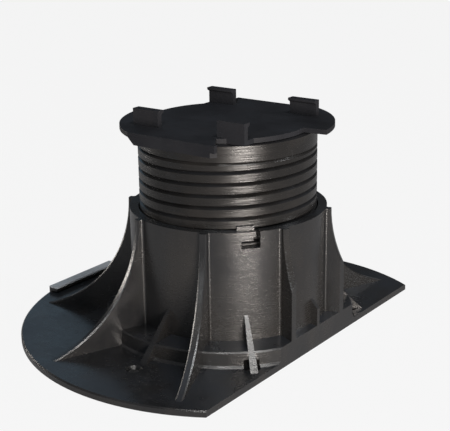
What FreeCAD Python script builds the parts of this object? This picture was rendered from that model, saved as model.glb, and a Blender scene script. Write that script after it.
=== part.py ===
# Height-adjustable decking pedestal, black moulded plastic, in millimetres.
# The origin is on the ground on the tube's axis, X runs along the joist and +Z is up.
import FreeCAD, Part
import math
import os

Vector = FreeCAD.Vector
upAxis = Vector(0, 0, 1)

# Driving sizes of the base
flangeRadius = 109.0
flangeThickness = 3.2
flangeEdgeBevel = 0.7
straightSideX = 54.7
plinthRadius = 64.5
plinthHeight = 8.0
plinthCoreWidth = 8.0
plinthCoreEndX = 48.0
baseWall = 4.5
baseHeight = 66.3
footBevel = 1.2
rootRound = 1.2

# Driving sizes of the gussets and ribs
gussetCount = 8
gussetThickness = 3.6
gussetRimReach = 2.7
gussetFootInset = 7.3
gussetEdgeBevel = 0.6
ribHeight = 21.2
ribFootThickness = 3.8
ribTopThickness = 1.6
ribAngles = (-90.0, -45.0, 0.0, 45.0, 90.0)

# Driving sizes of the screw holes; the inner ones lie under two of the ribs
screwHoleRadius = 2.7
screwHeadRadius = 4.0
screwHeadDepth = 1.6
screwHeadRoom = 4.0
outerHoleCircle = 78.6
outerHoleAngles = (-90.0, 90.0)
innerHoleCircle = 65.5
innerHoleAngles = (-45.0, 45.0)

# Driving sizes of the hooked edge, which lies a little inside the flange's circle
hookInset = 3.8
hookFrom = -27.0
hookTo = 23.5
hookWidth = 6.0
hookRise = 3.4
hookGap = 1.0
hookWall = 1.6

# Driving sizes of the thread, with room between the male and the female form
crestRadius = 45.3
threadPitch = 5.7
grooveDepth = 1.9
grooveMouth = 2.0
boreClearance = 0.7
threadClearance = 0.32
ridgeTipWidth = 0.4
ridgeBite = 1.5
ridgeSlotGap = 6.5
ridgeTopGap = 1.6

# Driving sizes of the slot beside the tongue, as angles round the tube
slotOpenFrom = -39.3
slotOpenTo = -36.7
slotFarEnd = -47.3
slotDepth = 8.2
slotLegHeight = 3.8
tongueNotchAngle = 1.4
tongueNotchHeight = 2.0
guardFrom = -49.5
guardTo = -38.8
guardHeight = 2.0
guardThickness = 2.0

# Driving sizes of the screw tube
tubeWall = 3.8
tubeBottom = 46.0
collarBottom = 99.2
collarTop = 106.9
reliefWidth = 1.6
reliefDepth = 1.3
grooveAngleAtStart = -65.0
grooveHeightAtStart = 71.2

# Driving sizes of the joist head
headClearance = 0.3
seatThickness = 2.4
spigotDepth = 11.0
spigotWall = 2.6
spigotLead = 0.5
snapDepth = 0.8
snapFromTop = 6.5
seatRadius = 42.0
wingRadius = 54.0
wingFlatY = 48.0
wingCutX = 27.0
wingEnd = -172.0
apronThickness = 2.4
apronDrop = 3.6
apronCornerCut = 2.4

# Driving sizes of the joist clips
joistWidth = 60.0
joistClearance = 0.2
clipCentreX = 25.7
clipWidth = 15.8
clipThickness = 2.8
clipHeight = 8.2
clipNoseReach = 1.7
clipNoseHeight = 2.2

# Sizes that follow
tubeInner = crestRadius - tubeWall
collarInner = tubeInner - snapDepth
snapLedge = collarTop - snapFromTop
grooveRoot = crestRadius - grooveDepth
grooveSlope = grooveMouth / 2 / grooveDepth
boreRadius = crestRadius + boreClearance
baseRadius = boreRadius + baseWall
wallMiddle = (boreRadius + baseRadius) / 2
plinthTop = flangeThickness + plinthHeight
webFoot = flangeThickness / 2
gussetRimRadius = baseRadius + gussetRimReach
gussetFootRadius = flangeRadius - gussetFootInset
hookSideX = hookInset - flangeRadius
hookTop = flangeThickness + hookRise
seatBottom = collarTop + headClearance
seatTop = seatBottom + seatThickness
spigotRadius = collarInner - headClearance
clipInnerY = joistWidth / 2 + joistClearance
clipOuterY = clipInnerY + clipThickness
clipStartX = clipCentreX - clipWidth / 2
clipEndX = clipCentreX + clipWidth / 2
ample = 2 * flangeRadius
cutOverlap = 1.0
tolerance = 0.001


def turned(shape, degrees):
    copy = shape.copy()
    copy.rotate(Vector(0, 0, 0), upAxis, degrees)
    return copy


def polar(radius, degrees, z=0.0):
    angle = math.radians(degrees)
    return Vector(radius * math.cos(angle), radius * math.sin(angle), z)


def cylinder(radius, low, high):
    return Part.makeCylinder(radius, high - low, Vector(0, 0, low))


def ring(outer, inner, low, high):
    return cylinder(outer, low, high).cut(cylinder(inner, low - cutOverlap, high + cutOverlap))


def boxBetween(low, high):
    size = high - low
    return Part.makeBox(size.x, size.y, size.z, low)


def prism(points, low, high):
    corners = [Vector(x, y, low) for x, y in points]
    face = Part.Face(Part.makePolygon(corners + corners[:1]))
    return face.extrude(Vector(0, 0, high - low))


def revolved(points):
    corners = [Vector(radius, 0, z) for radius, z in points]
    face = Part.Face(Part.makePolygon(corners + corners[:1]))
    return face.revolve(Vector(0, 0, 0), upAxis, 360)


# A stretch of a ring between two angles, turning counter-clockwise
def ringSector(outer, inner, startAngle, endAngle, low, high):
    angles = (startAngle, (startAngle + endAngle) / 2, endAngle)
    outerPoints = [polar(outer, angle, low) for angle in angles]
    innerPoints = [polar(inner, angle, low) for angle in angles]
    outerArc = Part.Arc(*outerPoints).toShape()
    innerArc = Part.Arc(*innerPoints).toShape()
    firstEnd = Part.makeLine(innerPoints[0], outerPoints[0])
    lastEnd = Part.makeLine(outerPoints[2], innerPoints[2])
    wire = Part.Wire([outerArc, lastEnd, innerArc, firstEnd])
    return Part.Face(wire).extrude(Vector(0, 0, high - low))


# A bar swept along a right-hand helix; its section is given as pairs of radius and height
def threadForm(section, startAngle, startHeight, turns):
    pathRadius = section[0][0]
    helix = Part.makeHelix(threadPitch, threadPitch * turns, pathRadius)
    corners = [Vector(radius, 0, z) for radius, z in section]
    bar = Part.Wire(helix).makePipeShell([Part.makePolygon(corners + corners[:1])], True, True)
    bar.rotate(Vector(0, 0, 0), upAxis, startAngle)
    bar.translate(Vector(0, 0, startHeight))
    return bar


# Bevels the circular edges that lie at one radius and height
def bevelCircle(shape, radius, z, size):
    edges = []
    for edge in shape.Edges:
        box = edge.BoundBox
        level = box.ZLength < tolerance and abs(box.Center.z - z) < tolerance
        if level and abs(box.XMax - radius) < tolerance:
            edges.append(edge)
    return shape.makeChamfer(size, edges)


# Rounds the upright inner corners where the webs meet the tube above the plinth
def roundRoots(shape, radius, size):
    edges = []
    for edge in shape.Edges:
        ends = [vertex.Point for vertex in edge.Vertexes]
        upright = len(ends) == 2 and (ends[0] - ends[1]).cross(upAxis).Length < tolerance
        above = edge.BoundBox.ZMin > plinthTop - tolerance
        if upright and above and abs(math.hypot(ends[0].x, ends[0].y) - radius) < tolerance:
            edges.append(edge)
    return shape.makeFillet(size, edges)


# The groove's height at any angle, which the ridge in the base follows too
def grooveHeight(angle, turnsUp):
    return grooveHeightAtStart + threadPitch * ((angle - grooveAngleAtStart) / 360 + turnsUp)


# Gussets: flat webs whose outer edge is one hollow arc from the rim to the flange
def gussetWeb():
    drop = baseHeight - flangeThickness
    reach = gussetFootRadius - gussetRimRadius
    curveRadius = (reach ** 2 + drop ** 2) / (2 * reach)
    arcCentre = Vector(gussetRimRadius + curveRadius, 0, baseHeight)
    rim = Vector(gussetRimRadius, 0, baseHeight)
    foot = Vector(gussetFootRadius, 0, flangeThickness)
    inward = (rim - arcCentre).normalize() + (foot - arcCentre).normalize()
    middle = arcCentre + inward.normalize() * curveRadius
    belowFoot = Vector(gussetFootRadius, 0, webFoot)
    corners = [foot, belowFoot, Vector(wallMiddle, 0, webFoot), Vector(wallMiddle, 0, baseHeight), rim]
    edges = [Part.Arc(rim, middle, foot).toShape()]
    edges += [Part.makeLine(start, end) for start, end in zip(corners, corners[1:])]
    web = Part.Face(Part.Wire(edges)).extrude(Vector(0, gussetThickness, 0))
    web.translate(Vector(0, -gussetThickness / 2, 0))
    curved = [edge for edge in web.Edges if edge.Curve.TypeId == "Part::GeomCircle"]
    return web.makeChamfer(gussetEdgeBevel, curved)


# Ribs: 45 degree triangles between the gussets, thinner towards the top
def smallRib():
    top = flangeThickness + ribHeight
    footRadius = baseRadius + ribHeight
    side = [(wallMiddle, webFoot), (footRadius, webFoot), (footRadius, flangeThickness),
            (baseRadius, top), (wallMiddle, top)]
    corners = [Vector(radius, 0, z) for radius, z in side]
    plate = Part.Face(Part.makePolygon(corners + corners[:1])).extrude(Vector(0, ribFootThickness, 0))
    plate.translate(Vector(0, -ribFootThickness / 2, 0))
    plan = [(wallMiddle, -ribTopThickness / 2), (footRadius, -ribFootThickness / 2),
            (footRadius, ribFootThickness / 2), (wallMiddle, ribTopThickness / 2)]
    return plate.common(prism(plan, 0, baseHeight))


# Countersunk screw hole; near the straight side the room for the head cuts into the plinth's wall
def screwHole(angle, circle):
    centre = polar(circle, angle)
    cone = Part.makeCone(screwHoleRadius, screwHeadRadius, screwHeadDepth,
                         centre + Vector(0, 0, flangeThickness - screwHeadDepth))
    underside = centre - Vector(0, 0, cutOverlap)
    shank = Part.makeCylinder(screwHoleRadius, flangeThickness + cutOverlap, underside)
    headRoom = Part.makeCylinder(screwHeadRadius, screwHeadRoom, centre + Vector(0, 0, flangeThickness))
    return cone.fuse([shank, headRoom])


def makeBase():
    shell = revolved([(boreRadius, 0), (flangeRadius, 0), (flangeRadius, flangeThickness),
                      (plinthRadius, flangeThickness), (plinthRadius, plinthTop),
                      (baseRadius, plinthTop), (baseRadius, baseHeight), (boreRadius, baseHeight)])
    shell = bevelCircle(shell, flangeRadius, flangeThickness, flangeEdgeBevel)
    shell = bevelCircle(shell, plinthRadius, flangeThickness, footBevel)
    shell = bevelCircle(shell, plinthRadius, plinthTop, flangeEdgeBevel)
    core = ring(baseRadius + plinthCoreWidth, baseRadius, -cutOverlap, plinthTop - flangeThickness)
    coreSpace = boxBetween(Vector(-ample, -ample, -cutOverlap), Vector(plinthCoreEndX, ample, plinthTop))
    base = shell.cut(core.common(coreSpace))
    step = 360 / gussetCount
    gussetAngles = [step * (index + 0.5) for index in range(gussetCount)]
    base = base.fuse([turned(gussetWeb(), angle) for angle in gussetAngles])
    base = roundRoots(base.removeSplitter(), baseRadius, rootRound)
    holes = [screwHole(angle, outerHoleCircle) for angle in outerHoleAngles]
    holes += [screwHole(angle, innerHoleCircle) for angle in innerHoleAngles]
    base = base.cut(holes)
    base = base.fuse([turned(smallRib(), angle) for angle in ribAngles])

    # The straight side and the hooked edge opposite
    above = baseHeight + cutOverlap
    base = base.cut(boxBetween(Vector(straightSideX, -ample, -cutOverlap), Vector(ample, ample, above)))
    base = base.cut(boxBetween(Vector(-ample, -ample, -cutOverlap), Vector(hookSideX, ample, above)))
    hook = boxBetween(Vector(hookSideX, hookFrom, 0), Vector(hookSideX + hookWidth, hookTo, hookTop))
    hookSpace = boxBetween(Vector(hookSideX + hookWall, -ample, flangeThickness),
                           Vector(hookSideX + 2 * hookWidth, ample, flangeThickness + hookGap))
    base = base.fuse(hook.cut(hookSpace))

    # The slot: down from the rim, then along under the tongue
    slotFloor = baseHeight - slotDepth
    slotTop = slotFloor + slotLegHeight
    outer = baseRadius + cutOverlap
    inner = boreRadius - cutOverlap
    notchFrom = slotOpenFrom - tongueNotchAngle
    guardTop = baseHeight + guardHeight
    legDown = ringSector(outer, inner, slotOpenFrom, slotOpenTo, slotFloor, guardTop)
    legAlong = ringSector(outer, inner, slotFarEnd, slotOpenTo, slotFloor, slotTop)
    notch = ringSector(outer, inner, notchFrom, slotOpenTo, slotFloor, slotTop + tongueNotchHeight)
    guardInner = crestRadius + threadClearance
    guardOuter = guardInner + guardThickness
    guard = ringSector(guardOuter, guardInner, guardFrom, guardTo, baseHeight - guardHeight, guardTop)
    base = base.cut([legDown, legAlong, notch]).fuse(guard.cut(legDown))

    # The female thread: one ridge that fills the screw tube's groove and stops on both sides of the slot
    ridgeTurns = 1 - (slotOpenTo - slotFarEnd + 2 * ridgeSlotGap) / 360
    ridgeAngle = slotOpenTo + ridgeSlotGap
    turnsUp = math.floor((baseHeight - ridgeTopGap - grooveHeight(ridgeAngle, 0)) / threadPitch - ridgeTurns)
    halfTip = ridgeTipWidth / 2
    ridgeTip = grooveRoot + (halfTip + threadClearance) / grooveSlope
    ridgeRoot = boreRadius + ridgeBite
    halfRoot = (ridgeRoot - grooveRoot) * grooveSlope - threadClearance
    section = [(ridgeRoot, -halfRoot), (ridgeTip, -halfTip), (ridgeTip, halfTip), (ridgeRoot, halfRoot)]
    ridge = threadForm(section, ridgeAngle, grooveHeight(ridgeAngle, turnsUp), ridgeTurns)
    return base.removeSplitter().fuse(ridge)


def makeScrewTube():
    collar = revolved([(tubeInner, collarBottom), (crestRadius, collarBottom), (crestRadius, collarTop),
                       (collarInner, collarTop), (collarInner, snapLedge), (tubeInner, snapLedge)])
    threaded = revolved([(tubeInner, tubeBottom), (crestRadius, tubeBottom),
                         (crestRadius, collarBottom - reliefWidth), (crestRadius - reliefDepth, collarBottom),
                         (tubeInner, collarBottom)])

    # One bar for each turn of the groove
    beyond = crestRadius + cutOverlap
    halfMouth = (beyond - grooveRoot) * grooveSlope
    section = [(beyond, -halfMouth), (grooveRoot, 0), (beyond, halfMouth)]
    firstTurn = math.floor((tubeBottom - grooveHeightAtStart) / threadPitch) - 1
    lastTurn = math.ceil((collarBottom - grooveHeightAtStart) / threadPitch)
    turns = [threadForm(section, grooveAngleAtStart, grooveHeight(grooveAngleAtStart, turn), 1)
             for turn in range(firstTurn, lastTurn + 1)]
    return threaded.cut(turns).fuse(collar)


def makeClip():
    side = [(-clipOuterY, seatBottom), (-clipInnerY, seatBottom),
            (-clipInnerY, seatTop + clipHeight - clipNoseHeight),
            (-clipInnerY + clipNoseReach, seatTop + clipHeight - clipNoseHeight / 2),
            (-clipInnerY + clipNoseReach, seatTop + clipHeight), (-clipOuterY, seatTop + clipHeight)]
    corners = [Vector(clipStartX, y, z) for y, z in side]
    return Part.Face(Part.makePolygon(corners + corners[:1])).extrude(Vector(clipWidth, 0, 0))


# A wing runs clockwise from its cut end to wingEnd and hangs an apron in front of the collar
def makeWing():
    sector = ringSector(wingRadius, seatRadius - cutOverlap, wingEnd, 0, seatBottom, seatTop)
    plan = [(-ample, -wingFlatY), (wingCutX, -wingFlatY), (clipStartX, -clipOuterY),
            (clipStartX, 0), (-ample, 0)]
    wing = sector.common(prism(plan, seatBottom, seatTop))
    apronStart = -math.sqrt(wingRadius ** 2 - wingFlatY ** 2)
    apronLow = seatBottom - apronDrop
    side = [(apronStart, seatBottom), (apronStart + apronDrop, apronLow), (wingCutX, apronLow),
            (wingCutX, seatTop), (apronStart, seatTop)]
    corners = [Vector(x, -wingFlatY, z) for x, z in side]
    apron = Part.Face(Part.makePolygon(corners + corners[:1])).extrude(Vector(0, apronThickness, 0))
    plan = [(wingCutX, -wingFlatY), (wingCutX, -wingFlatY + apronCornerCut),
            (wingCutX - apronCornerCut, -wingFlatY)]
    return wing.fuse(apron).cut(prism(plan, apronLow, apronLow + apronCornerCut))


def makeJoistHead():
    snapTop = snapLedge - headClearance
    spigotLow = seatBottom - spigotDepth
    inner = spigotRadius - spigotWall
    snapRadius = tubeInner - headClearance
    spigot = revolved([(inner, spigotLow), (spigotRadius - spigotLead, spigotLow), (snapRadius, snapTop),
                       (spigotRadius, snapTop), (spigotRadius, seatBottom), (inner, seatBottom)])
    gap = boxBetween(Vector(clipStartX, -ample, seatBottom), Vector(ample, -clipOuterY, seatTop))
    seat = cylinder(seatRadius, seatBottom, seatTop).cut([gap, turned(gap, 180)])
    cap = cylinder(spigotRadius, seatBottom, seatTop)
    clipBand = boxBetween(Vector(-clipEndX, -clipOuterY, seatBottom), Vector(clipEndX, clipOuterY, seatTop))
    seat = seat.fuse([cap, clipBand])
    wing = makeWing()
    clip = makeClip()
    otherClip = clip.mirror(Vector(0, 0, 0), Vector(1, 0, 0))
    halves = [wing, clip, otherClip]
    head = seat.fuse([spigot] + halves + [turned(half, 180) for half in halves])
    return head.removeSplitter()


os.makedirs("parts", exist_ok=True)
for name, make in (("base", makeBase), ("screw_tube", makeScrewTube), ("joist_head", makeJoistHead)):
    shape = make()
    solid = shape.Solids[0] if len(shape.Solids) == 1 else shape
    solid.exportStep("parts/" + name + ".step")
    print(name, "solids", len(shape.Solids), "valid", shape.isValid(), "volume", round(shape.Volume))
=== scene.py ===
import bpy
import bmesh
import math
from mathutils import Matrix, Vector


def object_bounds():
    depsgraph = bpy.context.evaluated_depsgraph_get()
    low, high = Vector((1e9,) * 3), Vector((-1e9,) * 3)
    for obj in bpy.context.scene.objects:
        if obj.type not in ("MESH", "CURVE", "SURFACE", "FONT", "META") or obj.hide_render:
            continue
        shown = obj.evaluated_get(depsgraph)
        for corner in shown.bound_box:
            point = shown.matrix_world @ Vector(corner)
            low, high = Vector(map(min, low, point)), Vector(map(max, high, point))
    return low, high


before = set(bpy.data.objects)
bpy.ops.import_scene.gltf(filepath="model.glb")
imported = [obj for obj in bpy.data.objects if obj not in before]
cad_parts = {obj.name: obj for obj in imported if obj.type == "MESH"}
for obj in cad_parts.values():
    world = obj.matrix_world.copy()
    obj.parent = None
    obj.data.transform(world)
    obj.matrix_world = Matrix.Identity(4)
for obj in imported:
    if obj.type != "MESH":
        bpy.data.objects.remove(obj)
cadLow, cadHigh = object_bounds()
scene = bpy.context.scene


# Shader maths written as plain sums: a Value wraps one socket
class Value:
    def __init__(self, sheet, socket):
        self.sheet = sheet
        self.socket = socket

    def maths(self, operation, first, second):
        return self.sheet.add("ShaderNodeMath", {"operation": operation}, {0: first, 1: second})

    def __add__(self, other):
        return self.maths("ADD", self, other)

    def __radd__(self, other):
        return self.maths("ADD", other, self)

    def __sub__(self, other):
        return self.maths("SUBTRACT", self, other)

    def __rsub__(self, other):
        return self.maths("SUBTRACT", other, self)

    def __mul__(self, other):
        return self.maths("MULTIPLY", self, other)

    def __rmul__(self, other):
        return self.maths("MULTIPLY", other, self)


# The nodes of one material or of the world
class Sheet:
    def __init__(self, owner):
        owner.use_nodes = True
        self.nodes = owner.node_tree.nodes
        self.links = owner.node_tree.links
        self.nodes.clear()

    # Makes one node, fills its sockets and hands back one output
    def add(self, kind, settings=None, inputs=None, output=0):
        node = self.nodes.new(kind)
        for name, value in (settings or {}).items():
            setattr(node, name, value)
        for name, value in (inputs or {}).items():
            if isinstance(value, Value):
                self.links.new(value.socket, node.inputs[name])
            else:
                node.inputs[name].default_value = value
        return Value(self, node.outputs[output]) if len(node.outputs) else None

    # 0 below the first limit, 1 above the second, smooth in between
    def ramp(self, value, limits):
        low, high = limits
        return self.add("ShaderNodeMapRange", {"interpolation_type": "SMOOTHSTEP"},
                        {0: value, 1: low, 2: high})

    def mix(self, factor, first, second):
        return self.add("ShaderNodeMix", {"data_type": "RGBA"}, {0: factor, 6: first, 7: second}, 2)

    # A noise, drawn out along the axes where its pattern says so
    def noise(self, place, pattern):
        if "stretch" in pattern:
            turn = pattern.get("turn", (0, 0, 0))
            place = self.add("ShaderNodeMapping", None,
                             {"Vector": place, "Rotation": turn, "Scale": pattern["stretch"]})
        return self.add("ShaderNodeTexNoise", None,
                        {"Vector": place, "Scale": pattern["scale"], "Detail": pattern["detail"],
                         "Roughness": pattern["roughness"]})


# Black moulded plastic: soft flow marks, a fine grain, brushed streaks, scuffs,
# and on what faces up a little dust mixed with a painted cool sky tint
def mouldedPlastic(name, look):
    material = bpy.data.materials.new(name)
    sheet = Sheet(material)
    place = sheet.add("ShaderNodeTexCoord", output="Object")
    normal = sheet.add("ShaderNodeNewGeometry", output="Normal")
    upward = sheet.add("ShaderNodeSeparateXYZ", None, {0: normal}, "Z")
    flow = sheet.noise(place, look["flow"])
    cloud = sheet.noise(place, look["cloud"])
    grain = sheet.noise(place, look["grain"])
    streak = sheet.noise(place, look["streak"])

    # Dust and painted sky light: what faces up is painted paler and bluer in cloudy patches, as if lit by a
    # cool sky
    dustAndSkyTint = sheet.ramp(upward, look["dustAndSkyFacing"]) * sheet.ramp(cloud, look["dustAndSkyPatches"])
    scuffed = sheet.ramp(sheet.noise(place, look["scuffs"]), look["scuffRange"])
    body = sheet.mix(sheet.ramp(cloud, look["cloudRange"]), look["dark"], look["light"])
    body = sheet.mix(sheet.ramp(flow, look["flowRange"]) * look["flowAmount"], body, look["warm"])
    body = sheet.mix(dustAndSkyTint * look["dustAndSkyAmount"], body, look["dustAndSky"])
    body = sheet.mix(scuffed * look["scuffAmount"], body, look["scuff"])
    # Painted highlight along the hooked edge, where the look asks for it
    if "highlightStrip" in look:
        body = paintedHighlightStrip(sheet, place, body, flow, look["highlightStrip"])

    # How far each pattern moves the roughness; a noise swings round its middle
    sway, middle = look["sway"], 0.5
    rough = look["roughness"] + (cloud - middle) * sway["cloud"] + (flow - middle) * sway["flow"]
    rough = rough + dustAndSkyTint * sway["dustAndSky"] + (streak - middle) * sway["streak"] - scuffed * sway["scuff"]

    texture = grain * look["grainHeight"] + streak * look["streakHeight"]
    smoothed = sheet.ramp(upward, look["flatFacing"]) * look["flatSmooth"]  # level faces are smoother
    height = texture * (1 - smoothed) + flow * look["flowHeight"]
    bump = sheet.add("ShaderNodeBump", None,
                     {"Strength": look["bumpStrength"], "Distance": look["bumpDistance"], "Height": height})
    shader = sheet.add("ShaderNodeBsdfPrincipled", None,
                       {"Base Color": body, "Roughness": rough, "Normal": bump,
                        "Metallic": 0.0, "IOR": 1.5, "Specular IOR Level": look["specular"]})
    sheet.add("ShaderNodeOutputMaterial", None, {"Surface": shader})
    return material


# A painted highlight: a paler strip between two places along X and above a height
def paintedHighlightStrip(sheet, place, body, flow, highlightStrip):
    along = sheet.add("ShaderNodeSeparateXYZ", None, {0: place}, "X")
    tall = sheet.add("ShaderNodeSeparateXYZ", None, {0: place}, "Z")
    fade = highlightStrip["fade"]
    inner = 1 - sheet.ramp(along, (highlightStrip["inner"], highlightStrip["inner"] + fade))
    outer = sheet.ramp(along, (highlightStrip["outer"] - fade, highlightStrip["outer"]))
    above = sheet.ramp(tall, (highlightStrip["height"], highlightStrip["height"] + fade))
    amount = highlightStrip["amount"] + flow * highlightStrip["flowAmount"]
    return sheet.mix(inner * outer * above * amount, body, highlightStrip["colour"])


def dress(node, material):
    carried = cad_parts[node]
    carried.data.materials.clear()
    carried.data.materials.append(material)


print("materials")

# Base: cool on its flange, where dust and a painted sky tint lie on what faces up, warm where the light
# grazes the tube. The other pieces start from it
baseLook = {
    "dark": (0.0065, 0.0068, 0.0076, 1), "light": (0.0115, 0.0112, 0.0110, 1), "cloudRange": (0.3, 0.7),
    "warm": (0.0170, 0.0150, 0.0135, 1), "flowRange": (0.45, 0.75), "flowAmount": 0.45,
    "dustAndSky": (0.0125, 0.0165, 0.023, 1), "dustAndSkyFacing": (0.55, 0.98), "dustAndSkyPatches": (0.3, 0.75),
    "dustAndSkyAmount": 0.75, "scuff": (0.045, 0.045, 0.046, 1), "scuffRange": (0.62, 0.72), "scuffAmount": 0.12,
    "flow": {"stretch": (1.0, 1.0, 0.22), "scale": 60.0, "detail": 3.0, "roughness": 0.5},
    "cloud": {"scale": 34.0, "detail": 4.0, "roughness": 0.55},
    "grain": {"stretch": (1.0, 1.0, 2.0), "scale": 1000.0, "detail": 3.0, "roughness": 0.65},
    "streak": {"stretch": (1.0, 1.0, 6.0), "scale": 260.0, "detail": 3.0, "roughness": 0.6},
    "scuffs": {"stretch": (1.0, 9.0, 3.0), "turn": (0.4, 0.9, 0.3), "scale": 55.0, "detail": 3.0,
               "roughness": 0.7},
    "roughness": 0.25, "specular": 0.7,
    "sway": {"cloud": 0.12, "flow": 0.08, "dustAndSky": 0.08, "streak": 0.12, "scuff": 0.06},
    "grainHeight": 0.35, "streakHeight": 0.3, "flowHeight": 0.12, "flatFacing": (0.5, 0.95),
    "flatSmooth": 0.9, "bumpStrength": 0.55, "bumpDistance": 0.0004,
}

# Painted highlight: the hooked edge is painted paler on its top and along its upper lip, standing in for
# the light it catches
hookPaintedHighlight = {
    "colour": (0.33, 0.35, 0.375, 1), "inner": -0.0991, "outer": -0.1050, "height": 0.0057,
    "fade": 0.0002, "amount": 0.8, "flowAmount": 0.4,
}
dress("base", mouldedPlastic("basePlastic", dict(baseLook, highlightStrip=hookPaintedHighlight)))

# Screw tube: the same plastic, with streaks that run round it
tubeLook = dict(
    baseLook, dark=(0.0070, 0.0067, 0.0066, 1), light=(0.0115, 0.0108, 0.0103, 1),
    flow=dict(baseLook["flow"], stretch=(1.0, 1.0, 3.0), scale=45.0),
    streak=dict(baseLook["streak"], stretch=(1.0, 1.0, 22.0), scale=70.0),
    roughness=0.28, specular=0.36, dustAndSkyAmount=0.5, grainHeight=0.2, streakHeight=0.5, bumpStrength=0.5,
)
dress("screw_tube", mouldedPlastic("tubePlastic", tubeLook))

# Joist head: slightly more violet and duller, with a coarser grain
headLook = dict(
    baseLook, dark=(0.0090, 0.0094, 0.0114, 1), light=(0.0145, 0.0150, 0.0176, 1),
    warm=(0.0160, 0.0152, 0.0166, 1), dustAndSky=(0.0165, 0.0185, 0.0230, 1),
    grain=dict(baseLook["grain"], scale=900.0), roughness=0.60, specular=0.14,
)
dress("joist_head", mouldedPlastic("headPlastic", headLook))

print("floor")

# Pale paper that looks white and throws back only a little light
floorLook = {
    "half": 6.0, "drop": 0.0001, "paper": (0.19, 0.19, 0.20, 1), "glow": (1.0, 1.0, 1.0, 1),
    "glowSeen": 0.90, "glowMirrored": 0.2,
}


def whiteFloor(look):
    mesh = bpy.data.meshes.new("floor")
    level = Matrix.Translation((0, 0, cadLow.z - look["drop"]))
    paperMesh = bmesh.new()
    bmesh.ops.create_grid(paperMesh, x_segments=1, y_segments=1, size=look["half"], matrix=level)
    paperMesh.to_mesh(mesh)
    paperMesh.free()
    floor = bpy.data.objects.new("floor", mesh)
    scene.collection.objects.link(floor)

    material = bpy.data.materials.new("floorPaper")
    sheet = Sheet(material)
    paper = sheet.add("ShaderNodeBsdfDiffuse", None, {"Color": look["paper"]})
    glow = sheet.add("ShaderNodeEmission", None, {"Color": look["glow"], "Strength": 1.0})
    seen = sheet.add("ShaderNodeLightPath", output="Is Camera Ray")
    mirrored = sheet.add("ShaderNodeLightPath", output="Is Glossy Ray")
    share = seen * look["glowSeen"] + mirrored * look["glowMirrored"]
    shade = sheet.add("ShaderNodeMixShader", None, {0: share, 1: paper, 2: glow})
    sheet.add("ShaderNodeOutputMaterial", None, {"Surface": shade})
    mesh.materials.append(material)


whiteFloor(floorLook)

print("lamps")

# Angles in degrees round the part and up from its middle; distance and size in metres, power in watts
lampTarget = Vector((0, 0, 0.06))
lamps = {
    "keyRight": {"azimuth": 55, "elevation": 0.7, "distance": 0.8, "size": (0.34, 0.14), "power": 12.0,
                 "colour": (1.0, 0.92, 0.85)},  # stands on the floor, so that upright walls mirror it
    "topRight": {"azimuth": 74, "elevation": 66, "distance": 0.9, "size": (0.2, 0.2), "power": 3.0,
                 "colour": (1.0, 0.98, 0.95)},
    "overCamera": {"azimuth": 28, "elevation": 46, "distance": 0.9, "size": (0.04, 0.4), "power": 2.3,
                   "colour": (1.0, 0.98, 0.96)},
    "frontStrip": {"azimuth": 18, "elevation": 20, "distance": 0.9, "size": (0.03, 0.25), "power": 0.8,
                   "colour": (0.92, 0.97, 1.0)},
    "rightStrip": {"azimuth": 120, "elevation": 28, "distance": 0.9, "size": (0.06, 0.35), "power": 2.6,
                   "colour": (0.96, 0.98, 1.0)},
    "skyLeft": {"azimuth": -34, "elevation": 4, "distance": 1.0, "size": (0.25, 0.5), "power": 0.4,
                "colour": (0.40, 0.68, 1.0)},
    "skyBack": {"azimuth": 244, "elevation": 22, "distance": 1.2, "size": (0.7, 0.4), "power": 0.33,
                "colour": (0.50, 0.76, 1.0)},
    "lowLeft": {"azimuth": -81, "elevation": 1.5, "distance": 0.8, "size": (0.2, 0.1), "power": 1.2,
                "colour": (1.0, 0.94, 0.88)},  # draws the bright edges of the gussets
}


def softBox(name, azimuth, elevation, distance, size, power, colour):
    lamp = bpy.data.lights.new(name, "AREA")
    lamp.shape = "RECTANGLE"
    lamp.size, lamp.size_y = size
    lamp.energy = power
    lamp.color = colour
    holder = bpy.data.objects.new(name, lamp)
    around, up = math.radians(azimuth), math.radians(elevation)
    away = Vector((math.sin(around) * math.cos(up), -math.cos(around) * math.cos(up), math.sin(up)))
    holder.location = lampTarget + away * distance
    holder.rotation_mode = "QUATERNION"
    holder.rotation_quaternion = (-away).to_track_quat("-Z", "Y")
    holder.visible_camera = False
    scene.collection.objects.link(holder)


for lampName, lampSettings in lamps.items():
    softBox(lampName, **lampSettings)

print("room")

# The camera sees the backdrop, everything else a dim room
roomLook = {"room": (0.86, 0.9, 0.95, 1), "roomStrength": 0.07, "backdrop": (0.913, 0.913, 0.913, 1)}
world = bpy.data.worlds.new("studio")
scene.world = world
studio = Sheet(world)
roomLight = studio.add("ShaderNodeBackground", None,
                       {"Color": roomLook["room"], "Strength": roomLook["roomStrength"]})
backdrop = studio.add("ShaderNodeBackground", None, {"Color": roomLook["backdrop"]})
cameraRay = studio.add("ShaderNodeLightPath", output="Is Camera Ray")
surround = studio.add("ShaderNodeMixShader", None, {0: cameraRay, 1: roomLight, 2: backdrop})
studio.add("ShaderNodeOutputWorld", None, {"Surface": surround})

print("camera")

# The photograph's angle: place in metres, turn, tilt down and roll in degrees
cameraSettings = {
    "lens": 92.48, "sensor": 36.0, "clipStart": 0.01,
    "place": (0.33298, -0.45978, 0.23809), "turn": 36.09, "down": 17.49, "roll": -0.79,
}
lens = bpy.data.cameras.new("camera")
lens.lens = cameraSettings["lens"]
lens.sensor_width = cameraSettings["sensor"]
lens.clip_start = cameraSettings["clipStart"]
camera = bpy.data.objects.new("camera", lens)
turned = Matrix.Rotation(math.radians(cameraSettings["turn"]), 4, "Z")
tilted = Matrix.Rotation(math.radians(90 - cameraSettings["down"]), 4, "X")
rolled = Matrix.Rotation(math.radians(cameraSettings["roll"]), 4, "Z")
camera.matrix_world = Matrix.Translation(cameraSettings["place"]) @ turned @ tilted @ rolled
scene.collection.objects.link(camera)
scene.camera = camera
scene.view_settings.view_transform = "Standard"

print("sizes")
bpy.context.view_layer.update()
